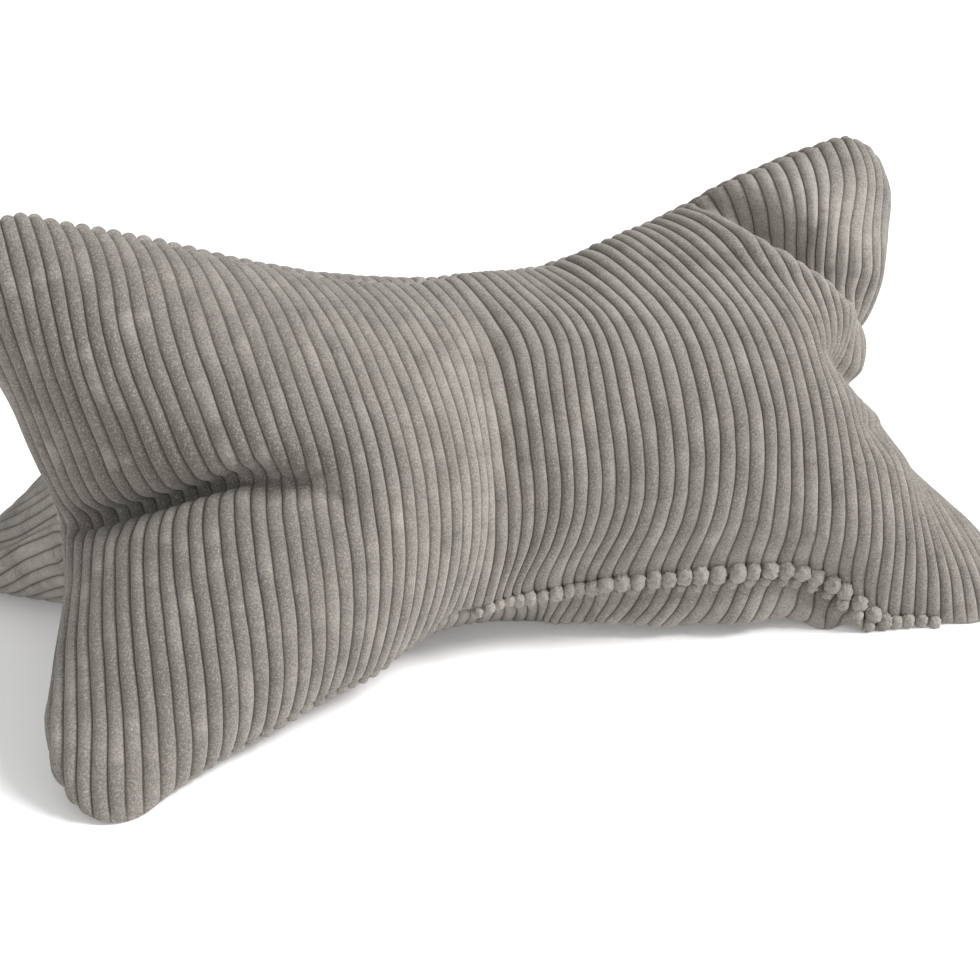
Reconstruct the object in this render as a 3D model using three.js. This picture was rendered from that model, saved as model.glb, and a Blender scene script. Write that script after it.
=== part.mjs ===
// A bone-shaped reading pillow of wide corduroy. Three equal bone-shaped panels are sewn edge to edge and
// stuffed. Millimetres; +X runs along the pillow, the front panel faces -Y, +Z is up and the floor is z = 0.
// The flat panels are relaxed as cloth: threads that resist stretching, a stuffing pressure, the floor, a few
// soft pins that hold it where this pillow lies, and folds where its cloth is pushed in or out. Nudges then move
// the stuffed cloth a little here and there.
import * as THREE from 'three';

// The corduroy
const RIB_PITCH = 7.2;
const RIB_COUNT = 75;
const RIB_RELIEF = 1.3;

// One flat panel: its ribs run across it, along Y, and its long edges are the seams
const LOBE_HALF_WIDTH = 162;
const WAIST_HALF_WIDTH = 94;
const CORNER_RADIUS = 50;
const END_NOTCH = 8;
const NOTCH_POWER = 1.5;

// How the cloth is relaxed
const STEPS = 300;
const SWEEPS = 8;
const PRESSURE = 0.45;
const GRAVITY = 0.04;
const DAMPING = 0.93;
const BENDING = 0.02;
const ALONG_LENGTH = { stretch: 1, squeeze: 0.2, share: 1 };
const ALONG_RIBS = { stretch: 1, squeeze: 0.25, share: 1 };
const ON_THE_BIAS = { stretch: 0.6, squeeze: 0.15, share: 0.5 };
const START_HEIGHT = 90;
const START_FULLNESS = 0.9;
const TINY = 1e-9;

// Cloth this close to the floor lies flat on it
const FLOOR_REACH = 1.2;

// A place on a panel is a rib, counted from the middle of the pillow, and v, from -1 at the panel's lower seam
// over 0 on its middle line to 1 at its upper seam. Panel 0 is the front, 1 the back and 2 the base.
const FRONT = 0;
const BACK = 1;
const BASE = 2;

// Where the cloth lies: the place on a panel, its position, and how far and how hard it is held there
const PINS = [
  { panel: FRONT, rib: -37.5, v: 0, x: -232, y: -6, z: 90, reach: 20, hold: 0.1 },
  { panel: FRONT, rib: -37.5, v: 0.4, x: -250, y: -14, z: 132, reach: 20, hold: 0.04 },
  { panel: FRONT, rib: 37.5, v: 0, x: 240, y: 0, z: 84, reach: 15, hold: 0.05 },
  { panel: FRONT, rib: 37.5, v: 0.45, x: 255, y: -14, z: 137, reach: 15, hold: 0.1 },
  { panel: FRONT, rib: 37.5, v: 0.6, x: 256, y: -18, z: 161, reach: 15, hold: 0.1 },
  { panel: FRONT, rib: -34, v: 1, x: -253, y: -28, z: 239, reach: 40, hold: 0.02 },
  { panel: FRONT, rib: -24, v: 1, x: -184, y: -12, z: 232, reach: 40, hold: 0.01 },
  { panel: FRONT, rib: 0, v: 1, x: -2, y: 0, z: 187, reach: 40, hold: 0.01 },
  { panel: FRONT, rib: 6, v: 1, x: 43, y: 12, z: 178, reach: 20, hold: 0.1 },
  { panel: FRONT, rib: 12, v: 1, x: 84, y: 12, z: 187, reach: 20, hold: 0.1 },
  { panel: FRONT, rib: 18, v: 1, x: 126, y: 12, z: 198, reach: 20, hold: 0.1 },
  { panel: FRONT, rib: 24, v: 1, x: 161, y: 4, z: 226, reach: 20, hold: 0.04 },
  { panel: FRONT, rib: 29, v: 1, x: 196, y: 2, z: 237, reach: 20, hold: 0.04 },
  { panel: FRONT, rib: 34, v: 1, x: 228, y: 0, z: 242, reach: 30, hold: 0.04 },
  { panel: FRONT, rib: -34, v: -1, x: -250, y: -150, z: 1, reach: 40, hold: 0.02 },
  { panel: FRONT, rib: -24, v: -1, x: -180, y: -133, z: 13, reach: 30, hold: 0.02 },
  { panel: FRONT, rib: -12, v: -1, x: -98, y: -106, z: 30, reach: 30, hold: 0.02 },
  { panel: FRONT, rib: -4, v: -1, x: -39, y: -83, z: 37, reach: 20, hold: 0.3 },
  { panel: FRONT, rib: 0, v: -1, x: -2, y: -92, z: 39, reach: 20, hold: 0.18 },
  { panel: FRONT, rib: 8, v: -1, x: 53, y: -98, z: 43, reach: 30, hold: 0.24 },
  { panel: FRONT, rib: 16, v: -1, x: 123, y: -112, z: 42, reach: 30, hold: 0.3 },
  { panel: FRONT, rib: 22, v: -1, x: 166, y: -124, z: 29, reach: 20, hold: 0.3 },
  { panel: FRONT, rib: 28, v: -1, x: 208, y: -145, z: 1, reach: 30, hold: 0.02 },
  { panel: FRONT, rib: 34, v: -1, x: 245, y: -155, z: 1, reach: 40, hold: 0.02 },
  { panel: FRONT, rib: 23, v: -0.2, x: 176, y: -112, z: 121, reach: 15, hold: 0.2 },
  { panel: FRONT, rib: 26, v: -0.37, x: 198, y: -120, z: 95, reach: 15, hold: 0.2 },
  { panel: FRONT, rib: 30, v: -0.6, x: 225, y: -130, z: 61, reach: 15, hold: 0.2 },
  { panel: FRONT, rib: 27, v: 0.35, x: 206, y: -71, z: 153, reach: 15, hold: 0.2 },
  { panel: FRONT, rib: 24, v: 0.55, x: 174, y: -47, z: 186, reach: 15, hold: 0.2 },
  { panel: FRONT, rib: 22, v: 0.68, x: 147, y: -23, z: 208, reach: 15, hold: 0.1 },
  { panel: FRONT, rib: 32, v: 0.78, x: 216, y: -30, z: 222, reach: 18, hold: 0.05 },
  { panel: BASE, rib: 1, v: 0.72, x: 10, y: -55, z: 1, reach: 20, hold: 0.5 },
  { panel: BASE, rib: 6, v: 0.7, x: 53, y: -70, z: 1, reach: 20, hold: 0.5 },
  { panel: BASE, rib: 12, v: 0.7, x: 94, y: -91, z: 1, reach: 20, hold: 0.5 },
  { panel: BASE, rib: 16, v: 0.72, x: 126, y: -106, z: 1, reach: 20, hold: 0.3 },
  { panel: BACK, rib: -32, v: 1, x: -262, y: 112, z: 8, reach: 30, hold: 0.015 },
];

// Creases and swells: straight runs on a panel, pushed in by depth or, where depth is negative, out
const FOLDS = [
  { panel: FRONT, rib: -37, v: 0, toRib: -32, toV: -0.04, width: 7, depth: 1.2 },
  { panel: FRONT, rib: -32, v: -0.04, toRib: -28, toV: -0.01, width: 7, depth: 1.2 },
  { panel: FRONT, rib: -28, v: -0.01, toRib: -24, toV: 0.01, width: 7, depth: 1 },
  { panel: FRONT, rib: -24, v: 0.01, toRib: -21, toV: -0.07, width: 7, depth: 1 },
  { panel: FRONT, rib: -21, v: -0.07, toRib: -19, toV: -0.11, width: 7, depth: 1.4 },
  { panel: FRONT, rib: -19, v: -0.11, toRib: -17.5, toV: -0.18, width: 7, depth: 1.4 },
  { panel: FRONT, rib: -17.5, v: -0.18, toRib: -15.8, toV: -0.28, width: 7, depth: 1 },
  { panel: FRONT, rib: -34, v: 0.14, toRib: -26, toV: 0.14, width: 14, depth: -0.3 },
  { panel: FRONT, rib: -24, v: 0.12, toRib: -18, toV: 0.02, width: 14, depth: -0.3 },
  { panel: FRONT, rib: -5, v: -1, toRib: -3, toV: 0, width: 9, depth: 0.8 },
  { panel: FRONT, rib: -3, v: 0, toRib: -1.5, toV: 0.6, width: 9, depth: 0.7 },
  { panel: FRONT, rib: -1, v: 0.35, toRib: 1, toV: -0.1, width: 8, depth: -0.3 },
  { panel: FRONT, rib: 8, v: -0.3, toRib: 12, toV: 0.3, width: 30, depth: -0.12 },
  { panel: FRONT, rib: 28, v: 0.05, toRib: 37, toV: 0, width: 16, depth: 1 },
  { panel: FRONT, rib: 24, v: -0.12, toRib: 36, toV: -0.8, width: 12, depth: -0.3 },
  { panel: FRONT, rib: 22.5, v: 0.08, toRib: 28, toV: 0.38, width: 12, depth: -0.3 },
  { panel: FRONT, rib: 36, v: 0.3, toRib: 31, toV: 0.45, width: 12, depth: 0.7 },
  { panel: FRONT, rib: 31, v: 0.45, toRib: 26, toV: 0.66, width: 12, depth: 0.7 },
  { panel: FRONT, rib: 26, v: 0.66, toRib: 22, toV: 0.82, width: 10, depth: 0.3 },
  { panel: FRONT, rib: 33, v: 0.8, toRib: 28, toV: 0.85, width: 20, depth: -0.5 },
  { panel: BASE, rib: 2, v: 0.85, toRib: 15, toV: 0.85, width: 14, depth: -0.4 },
  { panel: BASE, rib: -12, v: 0.8, toRib: -3, toV: 0.8, width: 20, depth: 0.4 },
];

// The stuffed pillow is patted into place: the cloth near a position moves by a few millimetres, less with distance
const NUDGES = [
  { x: 226, y: -18, z: 228, moveX: 8, moveY: -3, moveZ: -6, reach: 35 },
  { x: 240, y: -25, z: 165, moveX: 6, moveY: -3, moveZ: 0, reach: 30 },
  { x: 244, y: -20, z: 145, moveX: -2, moveY: 1, moveZ: -13, reach: 22 },
  { x: 60, y: 14, z: 183, moveX: 0, moveY: 14, moveZ: -7, reach: 30 },
  { x: 120, y: 14, z: 200, moveX: 0, moveY: 14, moveZ: -7, reach: 30 },
  { x: 145, y: 10, z: 212, moveX: 0, moveY: 8, moveZ: -3, reach: 22 },
  { x: 80, y: -12, z: 192, moveX: 0, moveY: 4, moveZ: 5, reach: 26 },
  { x: 125, y: -14, z: 208, moveX: 0, moveY: 4, moveZ: 5, reach: 26 },
  { x: 90, y: 42, z: 184, moveX: 0, moveY: 0, moveZ: -7, reach: 26 },
  { x: 135, y: 45, z: 200, moveX: 0, moveY: 0, moveZ: -9, reach: 26 },
  { x: 210, y: -55, z: 130, moveX: 10, moveY: -4, moveZ: -9, reach: 22 },
  { x: 228, y: -16, z: 104, moveX: 8, moveY: -4, moveZ: -12, reach: 22 },
  { x: 190, y: -86, z: 118, moveX: 6, moveY: -12, moveZ: -6, reach: 22 },
  { x: 204, y: -108, z: 104, moveX: -8, moveY: 3, moveZ: 0, reach: 24 },
  { x: 228, y: -88, z: 76, moveX: -7, moveY: 5, moveZ: 0, reach: 30 },
  { x: 228, y: -128, z: 60, moveX: -6, moveY: 3, moveZ: 0, reach: 28 },
  { x: 12, y: -45, z: 168, moveX: 9, moveY: 0, moveZ: 0, reach: 36 },
  { x: 85, y: -70, z: 168, moveX: 8, moveY: 0, moveZ: 0, reach: 42 },
  { x: 148, y: -88, z: 156, moveX: 8, moveY: 0, moveZ: 0, reach: 36 },
  { x: 100, y: -108, z: 125, moveX: 5, moveY: 0, moveZ: 0, reach: 36 },
  { x: 8, y: -94, z: 58, moveX: -4, moveY: 0, moveZ: 0, reach: 28 },
  { x: 50, y: -103, z: 56, moveX: -4, moveY: 0, moveZ: 0, reach: 28 },
  { x: 85, y: -110, z: 55, moveX: -2, moveY: 0, moveZ: 0, reach: 28 },
  { x: -195, y: -55, z: 192, moveX: -7, moveY: 0, moveZ: 0, reach: 42 },
  { x: -238, y: -10, z: 110, moveX: -6, moveY: 2, moveZ: 0, reach: 45 },
  { x: -249, y: -74, z: 54, moveX: -3, moveY: 1, moveZ: 0, reach: 30 },
  { x: -252, y: -150, z: 8, moveX: -4, moveY: -2, moveZ: 0, reach: 25 },
  { x: -95, y: -104, z: 30, moveX: -3, moveY: 0, moveZ: -9, reach: 28 },
  { x: -35, y: -84, z: 38, moveX: -2, moveY: 0, moveZ: -5, reach: 18 },
  { x: 181, y: -135, z: 18, moveX: 0, moveY: 0, moveZ: -14, reach: 20 },
  { x: 207, y: -147, z: 8, moveX: 0, moveY: 0, moveZ: -5, reach: 22 },
  { x: 152, y: -118, z: 34, moveX: 0, moveY: 0, moveZ: -5, reach: 17 },
  { x: 130, y: -112, z: 42, moveX: 0, moveY: -7, moveZ: 3, reach: 24 },
  { x: 30, y: -74, z: 5, moveX: -18, moveY: -6, moveZ: 0, reach: 20 },
  { x: 62, y: -84, z: 5, moveX: -24, moveY: -8, moveZ: 0, reach: 20 },
  { x: 92, y: -92, z: 5, moveX: -22, moveY: -10, moveZ: 0, reach: 20 },
  { x: 124, y: -105, z: 6, moveX: -18, moveY: -16, moveZ: 0, reach: 20 },
  { x: 165, y: -110, z: 8, moveX: -8, moveY: -26, moveZ: -8, reach: 22 },
  { x: 172, y: -132, z: 9, moveX: 3, moveY: -3, moveZ: -4, reach: 12 },
  { x: -190, y: -137, z: 6, moveX: 0, moveY: 4, moveZ: 0, reach: 35 },
  { x: 165, y: -22, z: 200, moveX: 3, moveY: 11, moveZ: -11, reach: 14 },
  { x: 181, y: -36, z: 190, moveX: 3, moveY: 11, moveZ: -11, reach: 14 },
  { x: 200, y: -44, z: 177, moveX: 3, moveY: 11, moveZ: -11, reach: 14 },
  { x: 219, y: -44, z: 162, moveX: 3, moveY: 9, moveZ: -8, reach: 13 },
  { x: 150, y: -36, z: 203, moveX: 0, moveY: -5, moveZ: 4, reach: 13 },
  { x: 164, y: -50, z: 191, moveX: 0, moveY: -5, moveZ: 4, reach: 13 },
  { x: 182, y: -60, z: 178, moveX: 0, moveY: -5, moveZ: 4, reach: 13 },
  { x: 201, y: -64, z: 165, moveX: 0, moveY: -4, moveZ: 3, reach: 13 },
  { x: 204, y: -64, z: 140, moveX: -6, moveY: 3, moveZ: 2, reach: 16 },
  { x: 203, y: -58, z: 120, moveX: 8, moveY: -4, moveZ: -7, reach: 14 },
  { x: 186, y: -108, z: 116, moveX: -5, moveY: 2, moveZ: -1, reach: 18 },
  { x: 200, y: -112, z: 90, moveX: 4, moveY: -2, moveZ: 2, reach: 22 },
  { x: 158, y: 26, z: 216, moveX: 0, moveY: 6, moveZ: -14, reach: 20 },
  { x: 125, y: 36, z: 198, moveX: 0, moveY: 6, moveZ: -14, reach: 22 },
  { x: 95, y: 36, z: 188, moveX: 0, moveY: 6, moveZ: -12, reach: 22 },
  { x: 185, y: 22, z: 226, moveX: 0, moveY: 6, moveZ: -10, reach: 20 },
  { x: 210, y: 16, z: 236, moveX: 0, moveY: 6, moveZ: -8, reach: 20 },
  { x: 158, y: 6, z: 218, moveX: 0, moveY: 9, moveZ: 3, reach: 20 },
  { x: 125, y: 14, z: 202, moveX: 0, moveY: 9, moveZ: 5, reach: 20 },
  { x: 100, y: 10, z: 192, moveX: 0, moveY: 8, moveZ: 5, reach: 20 },
  { x: 185, y: 2, z: 228, moveX: 0, moveY: 8, moveZ: 2, reach: 20 },
  { x: 205, y: 0, z: 236, moveX: 0, moveY: 6, moveZ: 4, reach: 18 },
  { x: 0, y: 40, z: 188, moveX: 0, moveY: 0, moveZ: -14, reach: 24 },
  { x: 35, y: 42, z: 184, moveX: 0, moveY: 0, moveZ: -12, reach: 24 },
  { x: 70, y: 42, z: 184, moveX: 0, moveY: 0, moveZ: -8, reach: 24 },
  { x: 0, y: 8, z: 187, moveX: 0, moveY: 8, moveZ: 5, reach: 24 },
  { x: 35, y: 14, z: 184, moveX: 0, moveY: 8, moveZ: 5, reach: 24 },
  { x: 70, y: 12, z: 186, moveX: 0, moveY: 7, moveZ: 4, reach: 24 },
  { x: 0, y: -90, z: 38, moveX: -10, moveY: 1, moveZ: 0, reach: 24 },
  { x: 45, y: -96, z: 38, moveX: -12, moveY: 1, moveZ: 0, reach: 26 },
  { x: 90, y: -104, z: 38, moveX: -11, moveY: 1, moveZ: 0, reach: 26 },
  { x: 130, y: -114, z: 36, moveX: -7, moveY: 1, moveZ: 0, reach: 22 },
  { x: 214, y: -45, z: 220, moveX: -12, moveY: 0, moveZ: 0, reach: 32 },
  { x: 222, y: -48, z: 186, moveX: -12, moveY: 0, moveZ: 0, reach: 32 },
  { x: 170, y: -114, z: 6, moveX: 0, moveY: -10, moveZ: -5, reach: 14 },
  { x: 105, y: -88, z: 4, moveX: 0, moveY: 3, moveZ: 0, reach: 24 },
];

// The grid on a half panel: a column for each groove and one at each end, and rows from the outer seam
// (row 0) to the panel's middle line (row MIDDLE)
const MIDDLE = 12;
const ROWS = MIDDLE + 1;
const HALF_LENGTH = (RIB_COUNT / 2) * RIB_PITCH;
const LAST_GROOVE = Math.floor(RIB_COUNT / 2);
const COLUMN_RIBS = [
  -RIB_COUNT / 2,
  ...Array.from({ length: 2 * LAST_GROOVE + 1 }, (_, index) => index - LAST_GROOVE),
  RIB_COUNT / 2,
];
const COLUMNS = COLUMN_RIBS.length;
const LAST_COLUMN = COLUMNS - 1;
const LOWER = 0;
const UPPER = 1;

// The rows that become the solid's surface, closest together at the middle line, where the cloth creases
const SOLID_ROWS = [0, 3, 6, 8, 10, 11, 12];

function halfWidth(x) {
  const straight = HALF_LENGTH - CORNER_RADIUS;
  const spread = (LOBE_HALF_WIDTH ** 2 - WAIST_HALF_WIDTH ** 2) / straight ** 2;
  const inner = Math.min(Math.abs(x), straight);
  const width = Math.sqrt(WAIST_HALF_WIDTH ** 2 + spread * inner ** 2);
  const turn = (Math.abs(x) - inner) / CORNER_RADIUS;
  const slope = (spread * straight) / width;
  const rise = slope * CORNER_RADIUS * turn * (1 - turn);
  const corner = CORNER_RADIUS * (1 - Math.sqrt(Math.max(0, 1 - turn ** 2)));
  return width + rise - corner;
}

const COLUMN_WIDTHS = COLUMN_RIBS.map((rib) => halfWidth(rib * RIB_PITCH));

function halfWidthAtRib(rib) {
  const place = Math.min(Math.max(rib + LAST_GROOVE + 1, 0), LAST_COLUMN - 1);
  const column = Math.floor(place);
  const part = Math.abs(rib) > LAST_GROOVE ? 1 : place - column;
  return COLUMN_WIDTHS[column] * (1 - part) + COLUMN_WIDTHS[column + 1] * part;
}

function vOfRow(half, row) {
  const outward = 1 - row / MIDDLE;
  return half === UPPER ? outward : -outward;
}

// Flat position of a grid point; the ends of the panel are cut in towards the middle line
function flatPoint(half, column, row) {
  const notch = END_NOTCH * (row / MIDDLE) ** NOTCH_POWER;
  const atEnd = { 0: notch, [LAST_COLUMN]: -notch };
  const x = COLUMN_RIBS[column] * RIB_PITCH + (atEnd[column] ?? 0);
  return [x, vOfRow(half, row) * COLUMN_WIDTHS[column]];
}

function pointIndex(panel, half, column, row) {
  return ((panel * 2 + half) * COLUMNS + column) * ROWS + row;
}

const POINTS = 3 * 2 * COLUMNS * ROWS;

function eachPoint(visit) {
  for (const panel of [FRONT, BACK, BASE]) {
    for (const half of [LOWER, UPPER]) {
      for (let column = 0; column < COLUMNS; column++) {
        for (let row = 0; row < ROWS; row++) visit(panel, half, column, row);
      }
    }
  }
}

// Seam directions round the X axis, seen from its end: the top, rear and front seams
const SEAM_ANGLES = [90, -30, 210].map((degrees) => (degrees * Math.PI) / 180);

function seamDirection(panel) {
  const angle = SEAM_ANGLES[(panel + 3) % 3];
  return new THREE.Vector3(0, Math.cos(angle), Math.sin(angle));
}

// The three panels set up as the sides of a prism
function startPositions() {
  const positions = new Float64Array(POINTS * 3);
  eachPoint((panel, half, column, row) => {
    const upper = seamDirection(panel);
    const lower = seamDirection(panel - 1);
    const outward = upper.clone().add(lower).normalize();
    const upward = upper.clone().sub(lower).normalize();
    const [x, y] = flatPoint(half, column, row);
    const depth = (COLUMN_WIDTHS[column] / Math.sqrt(3)) * START_FULLNESS;
    const point = outward.multiplyScalar(depth).add(upward.multiplyScalar(y));
    point.add(new THREE.Vector3(x, 0, START_HEIGHT));
    positions.set(point.toArray(), pointIndex(panel, half, column, row) * 3);
  });
  return positions;
}

// Grid points that are the same place once the pillow is sewn: outer seams, middle lines, ends and poles
function sewnGroups() {
  const groups = [];
  for (const panel of [FRONT, BACK, BASE]) {
    const next = (panel + 1) % 3;
    for (let column = 0; column < COLUMNS; column++) {
      groups.push([pointIndex(panel, UPPER, column, 0), pointIndex(next, LOWER, column, 0)]);
    }
    for (let column = 1; column < LAST_COLUMN; column++) {
      groups.push([pointIndex(panel, UPPER, column, MIDDLE), pointIndex(panel, LOWER, column, MIDDLE)]);
    }
    for (const column of [0, LAST_COLUMN]) {
      for (let row = 1; row < MIDDLE; row++) {
        groups.push([pointIndex(panel, UPPER, column, row), pointIndex(next, LOWER, column, row)]);
      }
    }
  }
  for (const column of [0, LAST_COLUMN]) {
    const pole = [FRONT, BACK, BASE].flatMap((panel) => [LOWER, UPPER].map((half) => [panel, half]));
    groups.push(pole.map(([panel, half]) => pointIndex(panel, half, column, MIDDLE)));
  }
  return groups;
}

const SEWN = sewnGroups();

function sew(values) {
  for (const group of SEWN) {
    for (let axis = 0; axis < 3; axis++) {
      let sum = 0;
      for (const index of group) sum += values[index * 3 + axis];
      for (const index of group) values[index * 3 + axis] = sum / group.length;
    }
  }
}

// Threads between grid neighbours a step apart, each with its flat length
function threads(columnStep, rowStep, keep, cloth) {
  const starts = [];
  const ends = [];
  const lengths = [];
  eachPoint((panel, half, column, row) => {
    const toColumn = column + columnStep;
    const toRow = row + rowStep;
    if (toColumn > LAST_COLUMN || toRow < 0 || toRow > MIDDLE || !keep(column, row)) return;
    const [x, y] = flatPoint(half, column, row);
    const [toX, toY] = flatPoint(half, toColumn, toRow);
    starts.push(pointIndex(panel, half, column, row) * 3);
    ends.push(pointIndex(panel, half, toColumn, toRow) * 3);
    lengths.push(Math.hypot(toX - x, toY - y));
  });
  return { starts, ends, lengths, moves: new Float64Array(starts.length * 3), ...cloth };
}

function everyOther(parity, axis) {
  return (column, row) => (axis === 'column' ? column : row) % 2 === parity;
}

const THREADS = [
  threads(1, 0, everyOther(0, 'column'), ALONG_LENGTH),
  threads(1, 0, everyOther(1, 'column'), ALONG_LENGTH),
  threads(0, 1, everyOther(0, 'row'), ALONG_RIBS),
  threads(0, 1, everyOther(1, 'row'), ALONG_RIBS),
  threads(1, 1, () => true, ON_THE_BIAS),
  threads(1, -1, () => true, ON_THE_BIAS),
];

function pullThreads(positions, { starts, ends, lengths, moves, stretch, squeeze, share }) {
  for (let index = 0; index < starts.length; index++) {
    const start = starts[index];
    const end = ends[index];
    const dx = positions[end] - positions[start];
    const dy = positions[end + 1] - positions[start + 1];
    const dz = positions[end + 2] - positions[start + 2];
    const length = Math.sqrt(dx * dx + dy * dy + dz * dz) + TINY;
    const strain = (length - lengths[index]) / length;
    const pull = 0.5 * share * strain * (strain > 0 ? stretch : squeeze);
    moves[index * 3] = pull * dx;
    moves[index * 3 + 1] = pull * dy;
    moves[index * 3 + 2] = pull * dz;
  }
  for (let index = 0; index < starts.length; index++) {
    for (let axis = 0; axis < 3; axis++) {
      positions[starts[index] + axis] += moves[index * 3 + axis];
      positions[ends[index] + axis] -= moves[index * 3 + axis];
    }
  }
}

// Outward unit normals at the grid points, from the neighbours on each side
function surfaceNormals(positions) {
  const normals = new Float64Array(POINTS * 3);
  const along = new THREE.Vector3();
  const across = new THREE.Vector3();
  const difference = (target, to, from) => {
    target.set(
      positions[to * 3] - positions[from * 3],
      positions[to * 3 + 1] - positions[from * 3 + 1],
      positions[to * 3 + 2] - positions[from * 3 + 2],
    );
  };
  eachPoint((panel, half, column, row) => {
    const right = pointIndex(panel, half, Math.min(column + 1, LAST_COLUMN), row);
    const left = pointIndex(panel, half, Math.max(column - 1, 0), row);
    const inner = pointIndex(panel, half, column, Math.min(row + 1, MIDDLE));
    const outer = pointIndex(panel, half, column, Math.max(row - 1, 0));
    difference(along, right, left);
    difference(across, inner, outer);
    along.cross(across).normalize();
    if (half === UPPER) along.negate();
    normals.set(along.toArray(), pointIndex(panel, half, column, row) * 3);
  });
  sew(normals);
  return normals;
}

// Every point moves a little towards the middle of its neighbours, so the cloth resists bending
function bendCloth(positions) {
  const before = positions.slice();
  eachPoint((panel, half, column, row) => {
    const here = pointIndex(panel, half, column, row) * 3;
    const pairs = [];
    if (column > 0 && column < LAST_COLUMN) {
      pairs.push([here - ROWS * 3, here + ROWS * 3]);
    }
    if (row > 0 && row < MIDDLE) pairs.push([here - 3, here + 3]);
    if (row === MIDDLE) {
      const inner = [LOWER, UPPER].map((side) => pointIndex(panel, side, column, MIDDLE - 1) * 3);
      pairs.push(inner);
    }
    for (const [first, second] of pairs) {
      for (let axis = 0; axis < 3; axis++) {
        const middle = (before[first + axis] + before[second + axis]) / 2;
        positions[here + axis] += BENDING * (middle - before[here + axis]);
      }
    }
  });
  sew(positions);
}

// Stuffing pressure at each grid point, less the depth of the folds that run there
function pressures() {
  const values = new Float64Array(POINTS).fill(PRESSURE);
  for (const { panel, rib, v, toRib, toV, width, depth } of FOLDS) {
    const from = new THREE.Vector2(rib * RIB_PITCH, v * halfWidthAtRib(rib));
    const run = new THREE.Vector2(toRib * RIB_PITCH, toV * halfWidthAtRib(toRib)).sub(from);
    eachPoint((pointPanel, half, column, row) => {
      if (pointPanel !== panel) return;
      const y = vOfRow(half, row) * COLUMN_WIDTHS[column];
      const away = new THREE.Vector2(COLUMN_RIBS[column] * RIB_PITCH, y).sub(from);
      const part = THREE.MathUtils.clamp(away.dot(run) / run.lengthSq(), 0, 1);
      const distance = away.addScaledVector(run, -part).length();
      values[pointIndex(panel, half, column, row)] -= depth * Math.exp(-((distance / width) ** 2));
    });
  }
  return values;
}

// A pin's grid point and the weights of the cloth round it; past a seam the next panel follows
function pinWeights({ panel, rib, v, reach, hold }) {
  const column = rib === -RIB_COUNT / 2 ? 0 : Math.min(Math.round(rib) + LAST_GROOVE + 1, LAST_COLUMN);
  const row = Math.round((1 - Math.abs(v)) * MIDDLE);
  const place = pointIndex(panel, v > 0 ? UPPER : LOWER, column, row);
  const followers = new Map([[panel, v]]);
  if (Math.abs(v) === 1) followers.set((panel + v + 3) % 3, -v);
  const weights = new Float64Array(POINTS);
  eachPoint((pointPanel, half, pointColumn, pointRow) => {
    if (!followers.has(pointPanel)) return;
    const across = (COLUMN_RIBS[pointColumn] - rib) * RIB_PITCH;
    const along = (vOfRow(half, pointRow) - followers.get(pointPanel)) * halfWidthAtRib(rib);
    const nearness = Math.exp(-(across ** 2 + along ** 2) / reach ** 2);
    weights[pointIndex(pointPanel, half, pointColumn, pointRow)] = hold * nearness;
  });
  return { place, weights };
}

function relaxedPillow() {
  let positions = startPositions();
  sew(positions);
  const velocities = new Float64Array(POINTS * 3);
  const pressure = pressures();
  const pins = PINS.map((pin) => ({ target: [pin.x, pin.y, pin.z], ...pinWeights(pin) }));
  for (let step = 0; step < STEPS; step++) {
    const normals = surfaceNormals(positions);
    for (let index = 0; index < POINTS * 3; index++) {
      velocities[index] = velocities[index] * DAMPING + normals[index] * pressure[Math.floor(index / 3)];
    }
    for (let point = 0; point < POINTS; point++) velocities[point * 3 + 2] -= GRAVITY;
    for (const { place, weights, target } of pins) {
      for (let axis = 0; axis < 3; axis++) {
        const pull = target[axis] - positions[place * 3 + axis];
        for (let point = 0; point < POINTS; point++) velocities[point * 3 + axis] += weights[point] * pull;
      }
    }
    sew(velocities);
    const before = positions;
    positions = before.map((value, index) => value + velocities[index]);
    for (let sweep = 0; sweep < SWEEPS; sweep++) {
      for (const batch of THREADS) pullThreads(positions, batch);
      sew(positions);
    }
    bendCloth(positions);
    for (let point = 0; point < POINTS; point++) {
      positions[point * 3 + 2] = Math.max(positions[point * 3 + 2], 0);
    }
    for (let index = 0; index < POINTS * 3; index++) velocities[index] = positions[index] - before[index];
  }
  return positions;
}

// The cloth after every nudge, still on or above the floor
function nudged(positions) {
  const result = positions.slice();
  const point = new THREE.Vector3();
  const centre = new THREE.Vector3();
  for (let index = 0; index < POINTS * 3; index += 3) {
    point.fromArray(positions, index);
    for (const { x, y, z, moveX, moveY, moveZ, reach } of NUDGES) {
      const share = Math.exp(-centre.set(x, y, z).distanceToSquared(point) / reach ** 2);
      result[index] += share * moveX;
      result[index + 1] += share * moveY;
      result[index + 2] += share * moveZ;
    }
    result[index + 2] = Math.max(result[index + 2], 0);
  }
  return result;
}

// A value halfway between two columns, on a smooth curve through the four columns round it
const NEAR_SHARE = 9 / 16;
const FAR_SHARE = 1 / 16;

function betweenColumns(values, panel, half, place, row) {
  const column = Math.floor(place);
  const read = (offset) => {
    const index = pointIndex(panel, half, THREE.MathUtils.clamp(column + offset, 0, LAST_COLUMN), row);
    return new THREE.Vector3().fromArray(values, index * 3);
  };
  if (place === column) return read(0);
  const near = read(0).add(read(1)).multiplyScalar(NEAR_SHARE);
  return near.sub(read(-1).add(read(2)).multiplyScalar(FAR_SHARE));
}

// Columns of the solid: a groove at each whole rib number and a crest halfway between
function solidColumns() {
  const columns = [{ place: 0, relief: 0 }];
  for (let place = 1; place <= LAST_COLUMN - 1; place += 0.5) {
    const relief = Number.isInteger(place) ? -RIB_RELIEF / 2 : RIB_RELIEF / 2;
    columns.push({ place, relief });
  }
  return [...columns, { place: LAST_COLUMN, relief: 0 }];
}

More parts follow.
